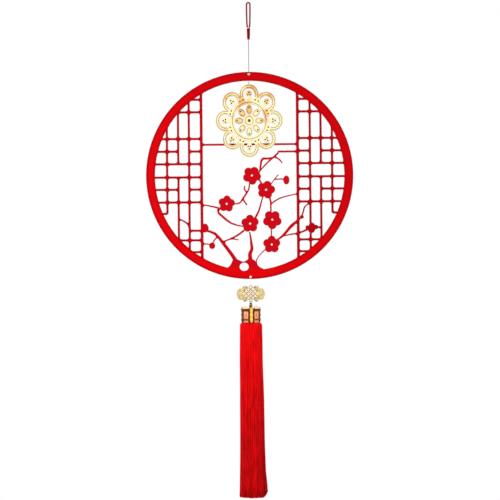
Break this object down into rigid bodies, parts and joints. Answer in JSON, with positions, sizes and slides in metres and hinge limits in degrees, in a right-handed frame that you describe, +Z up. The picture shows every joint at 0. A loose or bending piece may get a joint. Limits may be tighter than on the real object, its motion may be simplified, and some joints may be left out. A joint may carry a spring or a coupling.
{
  "type": "chinese knot pendant",
  "caption": "Round openwork wall hanging of red flocked board with window lattice and blossom branches, a pale gold rosette, a gold cord knot and a long red tassel.",
  "frame": {"origin": "the hanging point, at the inside top of the red loop", "axes": "+Z up, hanging plumb; -Y to the front, the side that the gold rosette is on; +X to the right seen from the front"},
  "size_m": [0.28, 0.032, 0.6687],
  "materials": {
    "red_cord": "twisted cord",
    "red_thread": "thin thread",
    "pale_thread": "thin pale thread",
    "red_flock": "velvety flocked board",
    "gold_foil": "pale gold foil on sheet",
    "gold_cord": "metallic gold cord",
    "gold_metal": "gold plated",
    "orange_enamel": "orange-pink enamel",
    "red_silk": "glossy viscose threads",
    "dark_bead": "dark varnish"
  },
  "bodies": {
    "root": {"hanger_loop": "red_cord", "hanger_wrap": "red_cord", "hanger_thread": "red_thread", "disc": "red_flock", "ornament": "gold_foil", "ornament_thread": "red_thread", "lower_thread": "pale_thread", "gold_knot": "gold_cord", "bead": "dark_bead", "cap_frame": "gold_metal", "cap_core": "orange_enamel", "tassel": "red_silk"}
  },
  "joints": []
}
